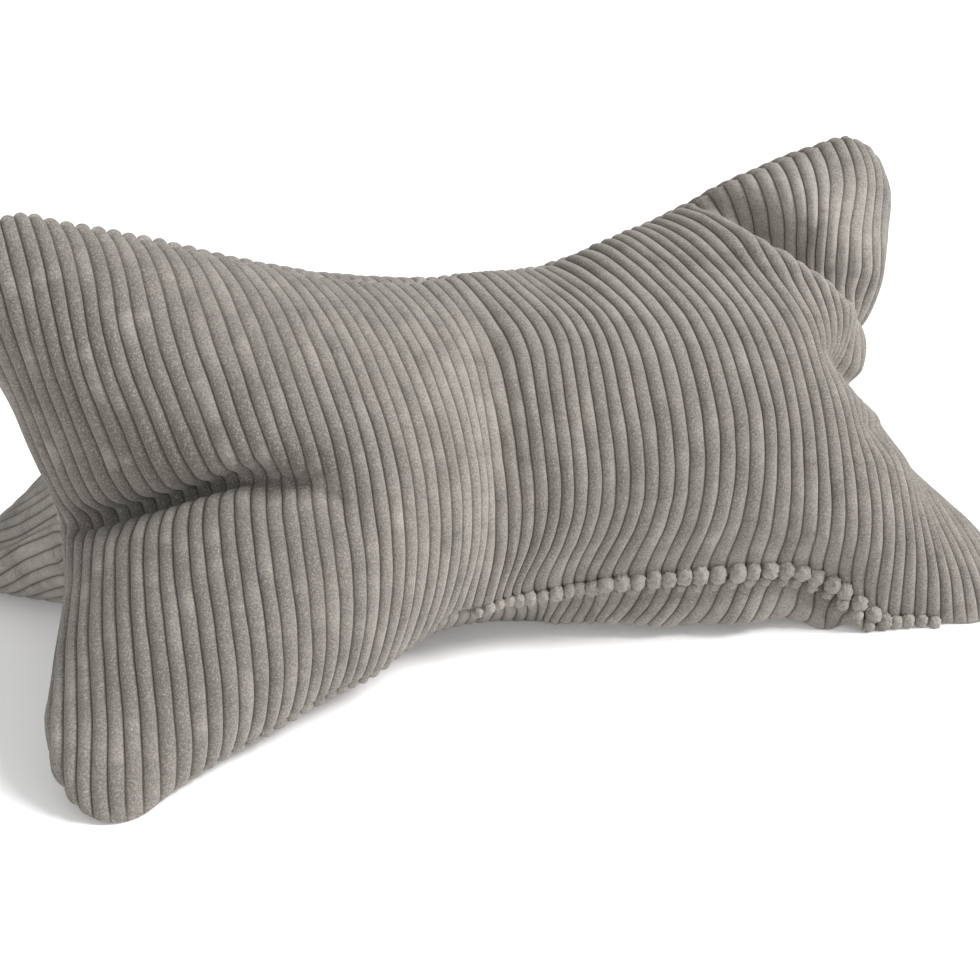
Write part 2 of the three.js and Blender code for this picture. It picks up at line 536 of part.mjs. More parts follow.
function pillowGeometry() {
  const positions = nudged(relaxedPillow());
  const normals = surfaceNormals(positions);
  const columns = solidColumns();
  const rows = [
    ...SOLID_ROWS.map((row) => ({ half: LOWER, row })),
    ...SOLID_ROWS.slice(0, -1).reverse().map((row) => ({ half: UPPER, row })),
  ];
  const vertices = [];
  const triangles = [];
  const numbers = new Map();
  const vertexNumber = (point) => {
    const key = point.toArray().map((value) => value.toFixed(4)).join(' ');
    if (!numbers.has(key)) {
      numbers.set(key, vertices.length / 3);
      vertices.push(...point.toArray());
    }
    return numbers.get(key);
  };
  for (const panel of [FRONT, BACK, BASE]) {
    const grid = columns.map(({ place, relief }) => rows.map(({ half, row }) => {
      const point = betweenColumns(positions, panel, half, place, row);
      const normal = betweenColumns(normals, panel, half, place, row).normalize();
      const onFloor = point.z < FLOOR_REACH;
      point.addScaledVector(normal, relief);
      point.z = onFloor ? 0 : Math.max(point.z, 0);
      return vertexNumber(point);
    }));
    for (let column = 0; column < columns.length - 1; column++) {
      for (let row = 0; row < rows.length - 1; row++) {
        const [near, above] = [grid[column][row], grid[column][row + 1]];
        const [right, rightAbove] = [grid[column + 1][row], grid[column + 1][row + 1]];
        triangles.push(near, right, rightAbove, near, rightAbove, above);
      }
    }
  }
  const geometry = new THREE.BufferGeometry();
  geometry.setAttribute('position', new THREE.Float32BufferAttribute(vertices, 3));
  geometry.setIndex(triangles);
  geometry.computeVertexNormals();
  return geometry;
}

// The pillow stands with the middle of its box over the origin
const group = new THREE.Group();
const corduroy = new THREE.MeshStandardMaterial({ color: 0x9a948a, roughness: 0.95, metalness: 0 });
const pillow = new THREE.Mesh(pillowGeometry(), corduroy);
pillow.name = 'pillow';
pillow.geometry.computeBoundingBox();
const centre = pillow.geometry.boundingBox.getCenter(new THREE.Vector3());
pillow.position.set(-centre.x, -centre.y, 0);
group.add(pillow);

export default group;
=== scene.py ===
# %% [markdown]
# A bone-shaped reading pillow in wide corduroy.
# Three equal bone-shaped panels are sewn edge to edge and stuffed, so the pillow has a low waist for the
# neck and six soft lobes. This notebook sews and stuffs the same flat panels as the imported solid does, and
# then gives them what only a fine mesh can show: round ribs, pinched seams with the ends of the ribs
# standing up in beads, sharp creases, the brushed nap of the cloth and soft areas of painted light and shade.

# %% Load the fixed frame
import math

import bpy
import numpy as np
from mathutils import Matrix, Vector


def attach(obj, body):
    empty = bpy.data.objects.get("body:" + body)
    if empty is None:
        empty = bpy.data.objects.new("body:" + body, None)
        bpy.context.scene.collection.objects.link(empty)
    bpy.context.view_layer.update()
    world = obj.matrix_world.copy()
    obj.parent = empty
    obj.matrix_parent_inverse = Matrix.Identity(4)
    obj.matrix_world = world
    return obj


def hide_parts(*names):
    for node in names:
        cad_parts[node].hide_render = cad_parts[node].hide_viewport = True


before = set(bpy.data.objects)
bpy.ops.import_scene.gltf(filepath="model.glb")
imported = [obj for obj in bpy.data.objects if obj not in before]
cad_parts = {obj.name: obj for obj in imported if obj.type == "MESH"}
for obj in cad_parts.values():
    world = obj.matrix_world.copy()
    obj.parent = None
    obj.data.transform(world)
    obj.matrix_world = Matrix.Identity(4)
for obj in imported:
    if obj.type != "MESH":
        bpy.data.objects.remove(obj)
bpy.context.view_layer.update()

# %% [markdown]
# The cut piece. Corduroy is sold by its ribs, so every place on a panel is counted in ribs from the middle.
# A panel is bone-shaped: narrow at the waist, wide at the lobes, with round corners and ends that are cut
# in a little. It could be drawn as a curve, but the stuffing needs a grid, so a formula gives the half
# width at each rib and the grid follows the ribs. Millimetres are used until the mesh is made.

# %% The flat panel
RIB_PITCH = 7.2
RIB_COUNT = 75
LOBE_HALF_WIDTH = 162
WAIST_HALF_WIDTH = 94
CORNER_RADIUS = 50
END_NOTCH = 8
NOTCH_POWER = 1.5                    # how sharply an end is cut in at its middle
MIDDLE = 12                          # rows from an outer seam to a panel's middle line
LAST_GROOVE = RIB_COUNT // 2
END_RIB = RIB_COUNT / 2

ribs = np.array([-END_RIB, *range(-LAST_GROOVE, LAST_GROOVE + 1), END_RIB])
flat_x = ribs * RIB_PITCH


def half_width(x):
    """Half the width of the flat panel at x millimetres from its middle."""
    straight = END_RIB * RIB_PITCH - CORNER_RADIUS
    spread = (LOBE_HALF_WIDTH**2 - WAIST_HALF_WIDTH**2) / straight**2
    inner = np.minimum(abs(x), straight)
    width = np.sqrt(WAIST_HALF_WIDTH**2 + spread * inner**2)
    turn = (abs(x) - inner) / CORNER_RADIUS
    rise = spread * straight / width * CORNER_RADIUS * turn * (1 - turn)
    return width + rise - CORNER_RADIUS * (1 - np.sqrt(np.maximum(0, 1 - turn**2)))


widths = half_width(flat_x)
outward = 1 - np.arange(MIDDLE + 1) / MIDDLE          # 1 at the seam, 0 on the middle line
grid_y = widths[:, None] * outward
grid_x = np.repeat(flat_x[:, None], MIDDLE + 1, 1)
notch = END_NOTCH * (1 - outward) ** NOTCH_POWER
grid_x[0] += notch
grid_x[-1] -= notch
print("panel", round(2 * flat_x[-1]), "x", round(2 * widths.max()), "mm, waist", 2 * WAIST_HALF_WIDTH)

# %% [markdown]
# Where this pillow lies and creases. Nobody can sew a pillow twice the same way: the filling shifts and the
# cloth folds where it was last held. Cloth simulation alone would give some pillow, not this one. Soft
# pins draw a few places of the cloth to where they are on this pillow, and folds push short runs of it in,
# or out where the depth is negative. A place is a rib and v, which is -1 at the panel's lower seam, 0 on
# its middle line and 1 at its upper seam. Sizes are in millimetres; a hold is the share of the way to its
# target that a pinned place is drawn in one step.

# %% Pins and folds
FRONT, BACK, BASE = 0, 1, 2

PINS = [  # panel, rib, v, x, y, z, reach, hold
    (FRONT, -37.5, 0, -232, -6, 90, 20, 0.1),
    (FRONT, -37.5, 0.4, -250, -14, 132, 20, 0.04),
    (FRONT, 37.5, 0, 240, 0, 84, 15, 0.05),
    (FRONT, 37.5, 0.45, 255, -14, 137, 15, 0.1),
    (FRONT, 37.5, 0.6, 256, -18, 161, 15, 0.1),
    (FRONT, -34, 1, -253, -28, 239, 40, 0.02),
    (FRONT, -24, 1, -184, -12, 232, 40, 0.01),
    (FRONT, 0, 1, -2, 0, 187, 40, 0.01),
    (FRONT, 6, 1, 43, 12, 178, 20, 0.1),
    (FRONT, 12, 1, 84, 12, 187, 20, 0.1),
    (FRONT, 18, 1, 126, 12, 198, 20, 0.1),
    (FRONT, 24, 1, 161, 4, 226, 20, 0.04),
    (FRONT, 29, 1, 196, 2, 237, 20, 0.04),
    (FRONT, 34, 1, 228, 0, 242, 30, 0.04),
    (FRONT, -34, -1, -250, -150, 1, 40, 0.02),
    (FRONT, -24, -1, -180, -133, 13, 30, 0.02),
    (FRONT, -12, -1, -98, -106, 30, 30, 0.02),
    (FRONT, -4, -1, -39, -83, 37, 20, 0.3),
    (FRONT, 0, -1, -2, -92, 39, 20, 0.18),
    (FRONT, 8, -1, 53, -98, 43, 30, 0.24),
    (FRONT, 16, -1, 123, -112, 42, 30, 0.3),
    (FRONT, 22, -1, 166, -124, 29, 20, 0.3),
    (FRONT, 28, -1, 208, -145, 1, 30, 0.02),
    (FRONT, 34, -1, 245, -155, 1, 40, 0.02),
    (FRONT, 23, -0.2, 176, -112, 121, 15, 0.2),
    (FRONT, 26, -0.37, 198, -120, 95, 15, 0.2),
    (FRONT, 30, -0.6, 225, -130, 61, 15, 0.2),
    (FRONT, 27, 0.35, 206, -71, 153, 15, 0.2),
    (FRONT, 24, 0.55, 174, -47, 186, 15, 0.2),
    (FRONT, 22, 0.68, 147, -23, 208, 15, 0.1),
    (FRONT, 32, 0.78, 216, -30, 222, 18, 0.05),
    (BASE, 1, 0.72, 10, -55, 1, 20, 0.5),
    (BASE, 6, 0.7, 53, -70, 1, 20, 0.5),
    (BASE, 12, 0.7, 94, -91, 1, 20, 0.5),
    (BASE, 16, 0.72, 126, -106, 1, 20, 0.3),
    (BACK, -32, 1, -262, 112, 8, 30, 0.015),
]
FOLDS = [  # panel, rib, v, to rib, to v, width, depth
    (FRONT, -37, 0, -32, -0.04, 7, 1.2),
    (FRONT, -32, -0.04, -28, -0.01, 7, 1.2),
    (FRONT, -28, -0.01, -24, 0.01, 7, 1),
    (FRONT, -24, 0.01, -21, -0.07, 7, 1),
    (FRONT, -21, -0.07, -19, -0.11, 7, 1.4),
    (FRONT, -19, -0.11, -17.5, -0.18, 7, 1.4),
    (FRONT, -17.5, -0.18, -15.8, -0.28, 7, 1),
    (FRONT, -34, 0.14, -26, 0.14, 14, -0.3),
    (FRONT, -24, 0.12, -18, 0.02, 14, -0.3),
    (FRONT, -5, -1, -3, 0, 9, 0.8),
    (FRONT, -3, 0, -1.5, 0.6, 9, 0.7),
    (FRONT, -1, 0.35, 1, -0.1, 8, -0.3),
    (FRONT, 8, -0.3, 12, 0.3, 30, -0.12),
    (FRONT, 28, 0.05, 37, 0, 16, 1),
    (FRONT, 24, -0.12, 36, -0.8, 12, -0.3),
    (FRONT, 22.5, 0.08, 28, 0.38, 12, -0.3),
    (FRONT, 36, 0.3, 31, 0.45, 12, 0.7),
    (FRONT, 31, 0.45, 26, 0.66, 12, 0.7),
    (FRONT, 26, 0.66, 22, 0.82, 10, 0.3),
    (FRONT, 33, 0.8, 28, 0.85, 20, -0.5),
    (BASE, 2, 0.85, 15, 0.85, 14, -0.4),
    (BASE, -12, 0.8, -3, 0.8, 20, 0.4),
]
print(len(PINS), "pins and", len(FOLDS), "folds")

# %% [markdown]
# Sewing. On the real pillow three long seams join the panels. A mesh could share the points of a seam, but
# here the grid holds six half panels, [panel, half, column, row]. Where two halves are sewn the same place
# is stored twice and averaged, which keeps every step a plain array sum. The start is a prism: each panel
# is one flat side of it.

# %% Sew the six half panels
SEAM_ANGLES = np.radians([90, -30, 210])              # top, rear and front seam, seen along the pillow
START_HEIGHT = 90
START_DEPTH = 0.9                                      # of a prism that the flat panels would close
LOWER, UPPER = 0, 1


def seam_direction(panel):
    angle = SEAM_ANGLES[panel % 3]
    return np.array([0, math.cos(angle), math.sin(angle)])


def sew(points):
    """Averages the places that are sewn to each other."""
    for panel in (FRONT, BACK, BASE):
        following = (panel + 1) % 3
        pairs = [((panel, UPPER, slice(None), 0), (following, LOWER, slice(None), 0)),
                 ((panel, UPPER, slice(None), MIDDLE), (panel, LOWER, slice(None), MIDDLE)),
                 ((panel, UPPER, 0), (following, LOWER, 0)),
                 ((panel, UPPER, -1), (following, LOWER, -1))]
        for one, other in pairs:
            points[one] = points[other] = (points[one] + points[other]) / 2
    for end in (0, -1):
        points[:, :, end, MIDDLE] = points[:, :, end, MIDDLE].mean(axis=(0, 1))
    return points


def start_shape():
    points = np.zeros((3, 2, len(ribs), MIDDLE + 1, 3))
    for panel in (FRONT, BACK, BASE):
        upper, lower = seam_direction(panel), seam_direction(panel - 1)
        away = (upper + lower) / np.linalg.norm(upper + lower)
        along = (upper - lower) / np.linalg.norm(upper - lower)
        for half, side in ((LOWER, -1), (UPPER, 1)):
            depth = widths[:, None] / math.sqrt(3) * START_DEPTH
            points[panel, half] = away * depth[..., None] + along * (side * grid_y)[..., None]
            points[panel, half, ..., 0] += grid_x
    points[..., 2] += START_HEIGHT
    return sew(points)


print("sewn grid", start_shape().shape)

# %% [markdown]
# Stuffing. The relaxation is the classic one for cloth: every thread between two neighbours pulls back to
# its flat length, hard when stretched and softly when squeezed, while a pressure pushes the cloth outward.
# It is run here in NumPy instead of Blender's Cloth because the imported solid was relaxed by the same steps,
# so the two forms agree.

# %% Threads, normals and bending
ALONG_LENGTH = (1, 0.2, 1)                             # stretch, squeeze, share of a move
ALONG_RIBS = (1, 0.25, 1)
ON_THE_BIAS = (0.6, 0.15, 0.5)
BENDING = 0.02
TINY = 1e-9                                            # keeps a division from being by 0


def pull(points, start, end, cloth):
    """Draws the threads between two sets of grid points back towards their flat length."""
    stretch, squeeze, share = cloth
    flat = np.hypot(grid_x[end] - grid_x[start], grid_y[end] - grid_y[start])
    start, end = (slice(None), slice(None), *start), (slice(None), slice(None), *end)
    run = points[end] - points[start]
    length = np.sqrt((run * run).sum(-1)) + TINY
    strain = (length - flat) / length
    move = (0.5 * share * strain * np.where(strain > 0, stretch, squeeze))[..., None] * run
    points[start] += move
    points[end] -= move


def pull_all(points):
    """Draws every thread once: along the pillow, along the ribs and on the bias."""
    every = slice(None)
    for first in (0, 1):
        last = len(ribs) - 1 - (len(ribs) - 1 - first) % 2
        one, next_one = slice(first, last, 2), slice(first + 1, last + 1, 2)
        pull(points, (one, every), (next_one, every), ALONG_LENGTH)
    for first in (0, 1):
        last = MIDDLE - (MIDDLE - first) % 2
        one, next_one = slice(first, last, 2), slice(first + 1, last + 1, 2)
        pull(points, (every, one), (every, next_one), ALONG_RIBS)
    start, end = slice(0, -1), slice(1, None)
    pull(points, (start, start), (end, end), ON_THE_BIAS)
    pull(points, (start, end), (end, start), ON_THE_BIAS)
    sew(points)


def difference(points, axis):
    """Central differences along an axis, one-sided at its ends."""
    points = np.moveaxis(points, axis, 0)
    result = np.empty_like(points)
    result[1:-1] = points[2:] - points[:-2]
    result[0], result[-1] = points[1] - points[0], points[-1] - points[-2]
    return np.moveaxis(result, 0, axis)


def unit(vectors):
    return vectors / (np.linalg.norm(vectors, axis=-1, keepdims=True) + TINY)


def surface_normals(points):
    normals = unit(np.cross(difference(points, 2), difference(points, 3)))
    normals[:, UPPER] *= -1
    return sew(normals)


def bend(points):
    """Moves every point a little towards the middle of its neighbours."""
    move = np.zeros_like(points)
    move[:, :, 1:-1] += (points[:, :, 2:] + points[:, :, :-2]) / 2 - points[:, :, 1:-1]
    move[:, :, :, 1:-1] += (points[:, :, :, 2:] + points[:, :, :, :-2]) / 2 - points[:, :, :, 1:-1]
    inner = points[:, :, :, MIDDLE - 1].mean(axis=1, keepdims=True)
    move[:, :, :, MIDDLE] += inner - points[:, :, :, MIDDLE]
    points += BENDING * move
    sew(points)


print("normals", surface_normals(start_shape()).shape)

# %% Pressure, folds and pins on the grid
PRESSURE = 0.45
SIDES = np.array([-1, 1])[:, None, None]


def bump(distance, width):
    """A soft bump: 1 at no distance, fading out over a width."""
    return np.exp(-((distance / width) ** 2))


def place(rib, v):
    """Flat position of a place on a panel, in millimetres."""
    return np.array([rib * RIB_PITCH, v * np.interp(rib, ribs, widths)])


def distance_to_run(x, y, rib, v, to_rib, to_v):
    """Flat distance from (x, y) to the straight run between two places."""
    start, end = place(rib, v), place(to_rib, to_v)
    run = end - start
    part = np.clip(((x - start[0]) * run[0] + (y - start[1]) * run[1]) / (run @ run), 0, 1)
    return np.hypot(x - start[0] - part * run[0], y - start[1] - part * run[1])


def pressures():
    values = np.full((3, 2, len(ribs), MIDDLE + 1), PRESSURE)
    for panel, rib, v, to_rib, to_v, width, depth in FOLDS:
        away = distance_to_run(flat_x[:, None], SIDES * grid_y, rib, v, to_rib, to_v)
        values[panel] -= depth * bump(away, width)
    return values


def pin_weights(panel, rib, v, reach, hold):
    """The grid point of a pin, and how much of its pull the cloth round it takes."""
    column = 0 if rib == -END_RIB else min(round(rib) + LAST_GROOVE + 1, len(ribs) - 1)
    point = (panel, UPPER if v > 0 else LOWER, column, round((1 - abs(v)) * MIDDLE))
    weights = np.zeros((3, 2, len(ribs), MIDDLE + 1, 1))
    sharing = {panel: v}
    if abs(v) == 1:
        sharing[(panel + v) % 3] = -v
    scale = np.interp(rib, ribs, widths)
    for other, there in sharing.items():
        across = flat_x[:, None] - rib * RIB_PITCH
        along = (SIDES * outward - there) * scale
        weights[other, ..., 0] = hold * np.exp(-(across**2 + along**2) / reach**2)
    return point, weights


print("pressure", pressures().min().round(2), "to", pressures().max().round(2))

# %% Relax the pillow
STEPS, SWEEPS = 300, 8
GRAVITY, DAMPING = 0.04, 0.93


def relaxed_pillow():
    points = start_shape()
    velocity = np.zeros_like(points)
    pressure = pressures()[..., None]
    pins = [(np.array([x, y, z]), *pin_weights(panel, rib, v, reach, hold))
            for panel, rib, v, x, y, z, reach, hold in PINS]
    for _ in range(STEPS):
        velocity = velocity * DAMPING + surface_normals(points) * pressure
        velocity[..., 2] -= GRAVITY
        for target, point, weights in pins:
            velocity += weights * (target - points[point])
        sew(velocity)
        before, points = points, points + velocity
        for _ in range(SWEEPS):
            pull_all(points)
        bend(points)
        np.maximum(points[..., 2], 0, out=points[..., 2])
        velocity = points - before
    return points


pillow_grid = relaxed_pillow()
print("stuffed size in mm", np.ptp(pillow_grid.reshape(-1, 3), axis=0).round(1))

# %% [markdown]
# Nudges. When a real pillow is set down for its picture, a hand pats it here and there. Each nudge moves
# the stuffed cloth near one place by a few millimetres and fades out with distance, like a sculpting brush.
# They are added up on the relaxed shape, so they cost nothing and don't disturb the cloth anywhere else.

# %% Pat the pillow into place
NUDGES = [  # x, y, z, move x, move y, move z, reach
    (226, -18, 228, 8, -3, -6, 35),
    (240, -25, 165, 6, -3, 0, 30),
    (244, -20, 145, -2, 1, -13, 22),
    (60, 14, 183, 0, 14, -7, 30),
    (120, 14, 200, 0, 14, -7, 30),
    (145, 10, 212, 0, 8, -3, 22),
    (80, -12, 192, 0, 4, 5, 26),
    (125, -14, 208, 0, 4, 5, 26),
    (90, 42, 184, 0, 0, -7, 26),
    (135, 45, 200, 0, 0, -9, 26),
    (210, -55, 130, 10, -4, -9, 22),
    (228, -16, 104, 8, -4, -12, 22),
    (190, -86, 118, 6, -12, -6, 22),
    (204, -108, 104, -8, 3, 0, 24),
    (228, -88, 76, -7, 5, 0, 30),
    (228, -128, 60, -6, 3, 0, 28),
    (12, -45, 168, 9, 0, 0, 36),
    (85, -70, 168, 8, 0, 0, 42),
    (148, -88, 156, 8, 0, 0, 36),
    (100, -108, 125, 5, 0, 0, 36),
    (8, -94, 58, -4, 0, 0, 28),
    (50, -103, 56, -4, 0, 0, 28),
    (85, -110, 55, -2, 0, 0, 28),
    (-195, -55, 192, -7, 0, 0, 42),
    (-238, -10, 110, -6, 2, 0, 45),
    (-249, -74, 54, -3, 1, 0, 30),
    (-252, -150, 8, -4, -2, 0, 25),
    (-95, -104, 30, -3, 0, -9, 28),
    (-35, -84, 38, -2, 0, -5, 18),
    (181, -135, 18, 0, 0, -14, 20),
    (207, -147, 8, 0, 0, -5, 22),
    (152, -118, 34, 0, 0, -5, 17),
    (130, -112, 42, 0, -7, 3, 24),
    (30, -74, 5, -18, -6, 0, 20),
    (62, -84, 5, -24, -8, 0, 20),
    (92, -92, 5, -22, -10, 0, 20),
    (124, -105, 6, -18, -16, 0, 20),
    (165, -110, 8, -8, -26, -8, 22),
    (172, -132, 9, 3, -3, -4, 12),
    (-190, -137, 6, 0, 4, 0, 35),
    (165, -22, 200, 3, 11, -11, 14),
    (181, -36, 190, 3, 11, -11, 14),
    (200, -44, 177, 3, 11, -11, 14),
    (219, -44, 162, 3, 9, -8, 13),
    (150, -36, 203, 0, -5, 4, 13),
    (164, -50, 191, 0, -5, 4, 13),
    (182, -60, 178, 0, -5, 4, 13),
    (201, -64, 165, 0, -4, 3, 13),
    (204, -64, 140, -6, 3, 2, 16),
    (203, -58, 120, 8, -4, -7, 14),
    (186, -108, 116, -5, 2, -1, 18),
    (200, -112, 90, 4, -2, 2, 22),
    (158, 26, 216, 0, 6, -14, 20),
    (125, 36, 198, 0, 6, -14, 22),
    (95, 36, 188, 0, 6, -12, 22),
    (185, 22, 226, 0, 6, -10, 20),
    (210, 16, 236, 0, 6, -8, 20),
    (158, 6, 218, 0, 9, 3, 20),
    (125, 14, 202, 0, 9, 5, 20),
    (100, 10, 192, 0, 8, 5, 20),
    (185, 2, 228, 0, 8, 2, 20),
    (205, 0, 236, 0, 6, 4, 18),
    (0, 40, 188, 0, 0, -14, 24),
    (35, 42, 184, 0, 0, -12, 24),
    (70, 42, 184, 0, 0, -8, 24),
    (0, 8, 187, 0, 8, 5, 24),
    (35, 14, 184, 0, 8, 5, 24),
    (70, 12, 186, 0, 7, 4, 24),
    (0, -90, 38, -10, 1, 0, 24),
    (45, -96, 38, -12, 1, 0, 26),
    (90, -104, 38, -11, 1, 0, 26),
    (130, -114, 36, -7, 1, 0, 22),
    (214, -45, 220, -12, 0, 0, 32),
    (222, -48, 186, -12, 0, 0, 32),
    (170, -114, 6, 0, -10, -5, 14),
    (105, -88, 4, 0, 3, 0, 24),
]


def nudged(points):
    """The same points after every nudge, still on or above the surface that the pillow lies on."""
    moves = np.zeros_like(points)
    for x, y, z, move_x, move_y, move_z, reach in NUDGES:
        away = ((points - (x, y, z)) ** 2).sum(-1, keepdims=True)
        moves += np.exp(-away / reach**2) * (move_x, move_y, move_z)
    points = points + moves
    points[..., 2] = np.maximum(points[..., 2], 0)
    return points


pillow_grid = nudged(pillow_grid)
print(len(NUDGES), "nudges, size in mm", np.ptp(pillow_grid.reshape(-1, 3), axis=0).round(1))

# %% [markdown]
# The fine surface. The grid has one column for each groove; the cloth between them is a smooth curve, so
# the fine mesh is sampled on cubic curves through the grid, closest together where a groove or a seam turns
# sharply. Subdivision would do the same with less control over where the points go.

# %% Sample the grid on smooth curves
rng = np.random.default_rng(7)
RIB_STEPS = np.array([-0.5, -0.43, -0.34, -0.18, 0, 0.18, 0.34, 0.43])   # across one rib, in ribs
END_STEPS = np.array([0, 0.12, 0.25, 0.38])                              # across the half rib at an end
SEAM_ROWS = 10                       # rows in the first stretch beside a seam
SEAM_STRETCH = 9
HALF_ROWS = 80
STRAY = 0.014                        # how far a groove strays, in ribs
STRAY_LENGTHS = (70, 31)


def rib_columns():
    """Places of the fine columns along the pillow, in ribs."""
    inner = (np.arange(-LAST_GROOVE, LAST_GROOVE)[:, None] + 0.5 + RIB_STEPS).ravel()
    return np.concatenate([-END_RIB + END_STEPS, inner, LAST_GROOVE + END_STEPS, [END_RIB]])


def rows_from_seam(width):
    """Distances from the seam to the middle line, in millimetres, for columns of these half widths."""
    near = np.linspace(0, SEAM_STRETCH, SEAM_ROWS + 1)[:-1]
    far = np.linspace(0, 1, HALF_ROWS - SEAM_ROWS + 1)
    far = SEAM_STRETCH + far * (width[:, None] - SEAM_STRETCH)
    return np.concatenate([np.repeat(near[None], len(width), 0), far], axis=1)


def cubic_weights(part):
    """Catmull-Rom weights of the four points round a place between two of them."""
    return np.stack([((2 - part) * part - 1) * part, (3 * part - 5) * part**2 + 2,
                     ((4 - 3 * part) * part + 1) * part, (part - 1) * part**2]) / 2


def sample(values, columns, rows):
    """Values of a whole panel, [column, row, 3], at fractional columns and rows."""
    padded = np.pad(values, ((1, 2), (1, 2), (0, 0)), mode="reflect", reflect_type="odd")
    column, row = columns.astype(int), rows.astype(int)
    across, along = cubic_weights(columns - column), cubic_weights(rows - row)
    result = 0
    for i in range(4):
        for j in range(4):
            result = result + (across[i] * along[j])[..., None] * padded[column + i, row + j]
    return result


def mirrored(values):
    """Values of the half panel, [column, row], continued over the middle line."""
    return np.concatenate([values, values[:, -2::-1]], axis=1)


def wander(rib, along):
    """How far a groove strays to one side, in ribs, at a place along it: two slow waves of its own."""
    result = 0
    for length in STRAY_LENGTHS:
        phases = rng.uniform(0, 2 * math.pi, RIB_COUNT + 3)
        phase = np.interp(rib, np.arange(-LAST_GROOVE - 1, LAST_GROOVE + 3), phases)
        result = result + STRAY * np.sin(2 * math.pi * along / length + phase)
    return result * np.clip((END_RIB - np.abs(rib)) / 2, 0, 1)


fine_ribs = rib_columns()
fine_widths = half_width(fine_ribs * RIB_PITCH)
from_seam = rows_from_seam(fine_widths)
seam_distance = mirrored(from_seam)
side = np.where(np.arange(seam_distance.shape[1]) < HALF_ROWS, -1, 1)
flat_y = side * (fine_widths[:, None] - seam_distance)
flat_rib = np.repeat(fine_ribs[:, None], seam_distance.shape[1], 1)
print(len(fine_ribs), "columns by", seam_distance.shape[1], "rows for each panel")

# %% [markdown]
# Sharp creases. Where filled cloth is squeezed it closes into a crease: a cusp with a roll beside it that
# leans over it. The grid is too coarse for that, so the creases are pressed into the fine surface, along
# its own normal and across the crease. A displacement node could press them in too, but not lean one side
# over.

# %% Press the creases
ROLL_PLACE, ROLL_WIDTH = 1.6, 1.3    # of a crease's width, from its line
LEAN_PLACE, LEAN_WIDTH = 0.8, 1.2
CUSP_ROUNDING = 0.5                  # square millimetres
PRESSED_RIBS = 0.5                   # how much a crease flattens the ribs in it
PRESSED_WIDTH = 0.6
EDGE_FADE = 12                       # a crease fades out this far from a panel's edge
CREASES = [  # panel, places (rib, v, strength), then in mm: width, depth, roll, lean; last the roll's side
    (FRONT, [(-37, -0.02, 0.5), (-35, -0.03, 1), (-28, -0.03, 1), (-24, -0.02, 1), (-21, -0.04, 0.9),
             (-19, -0.09, 0.6), (-17.5, -0.15, 0.4), (-15.8, -0.23, 0)], 5, 5.5, 0.6, 1.2, 1),
    (FRONT, [(20.5, 0.8, 0), (21.7, 0.66, 0.6), (23.7, 0.54, 1), (25.1, 0.49, 1), (26.5, 0.44, 1.1),
             (28.8, 0.39, 1.1), (32, 0.35, 1), (35, 0.32, 0.6)], 5, 4, 1, 2, -1),
]


def crease_distance(places):
    """Signed flat distance to a run of places, positive above it, with the strength and direction there."""
    nearest = np.full(flat_rib.shape, np.inf)
    signed, strength = np.zeros(flat_rib.shape), np.zeros(flat_rib.shape)
    direction = np.zeros((*flat_rib.shape, 2))
    x, y = flat_rib * RIB_PITCH, flat_y
    for (rib, v, power), (to_rib, to_v, to_power) in zip(places[:-1], places[1:]):
        start, end = place(rib, v), place(to_rib, to_v)
        run = end - start
        if run[0] < 0:
            start, end, run, power, to_power = end, start, -run, to_power, power
        part = np.clip(((x - start[0]) * run[0] + (y - start[1]) * run[1]) / (run @ run), 0, 1)
        off_x, off_y = x - start[0] - part * run[0], y - start[1] - part * run[1]
        away = np.hypot(off_x, off_y)
        closer = away < nearest
        up = np.array([-run[1], run[0]]) / np.linalg.norm(run)
        nearest = np.where(closer, away, nearest)
        signed = np.where(closer, np.sign(off_x * up[0] + off_y * up[1]) * away, signed)
        strength = np.where(closer, power + (to_power - power) * part, strength)
        direction = np.where(closer[..., None], up, direction)
    return signed, strength, direction


def steps(points, axis):
    """Slope of the surface along an axis of the fine mesh, per flat millimetre."""
    run = difference(points, axis)
    flat = np.stack([flat_rib * RIB_PITCH, flat_y], axis=-1)
    return run / (np.linalg.norm(difference(flat, axis), axis=-1, keepdims=True) + TINY)


def fine_normals(points):
    """Normals of the fine mesh of one panel."""
    return unit(np.cross(difference(points, 0), difference(points, 1)))


def edge_distance():
    """Flat distance to the nearest edge of the panel."""
    return np.minimum(seam_distance, (END_RIB - np.abs(flat_rib)) * RIB_PITCH)


def press_creases(points, panel):
    """Presses the creases of a panel into its fine surface."""
    flatten = np.ones(flat_rib.shape)
    for owner, places, width, depth, roll, lean, roll_side in CREASES:
        if owner != panel:
            continue
        signed, strength, direction = crease_distance(places)
        strength = strength * np.clip(edge_distance() / EDGE_FADE, 0, 1)
        normals = fine_normals(points)
        along_x, along_y = steps(points, 0), steps(points, 1)
        across = unit(along_x * direction[..., :1] + along_y * direction[..., 1:])
        cusp = np.exp(-np.sqrt(signed**2 + CUSP_ROUNDING) / width)
        beside = bump(signed - roll_side * ROLL_PLACE * width, ROLL_WIDTH * width)
        offset = strength * (roll * beside - depth * cusp)
        leaning = bump(signed - roll_side * LEAN_PLACE * width, LEAN_WIDTH * width)
        leaning = strength * -roll_side * lean * leaning
        points = points + normals * offset[..., None] + across * leaning[..., None]
        flatten = flatten - PRESSED_RIBS * np.clip(strength, 0, 1) * bump(signed, PRESSED_WIDTH * width)
    return points, flatten


print(len(CREASES), "creases")

# %% [markdown]
# The ribs. A rib of this corduroy is a soft round cord with a narrow groove on each side. Bump in the
# material could draw it, but its outline would stay smooth, so the ribs are raised in the mesh. Real ribs
# differ a little in height, so a seeded table varies them. At a seam the stitches draw the cloth in, and on
# the floor the weight of the pillow presses the ribs flat.

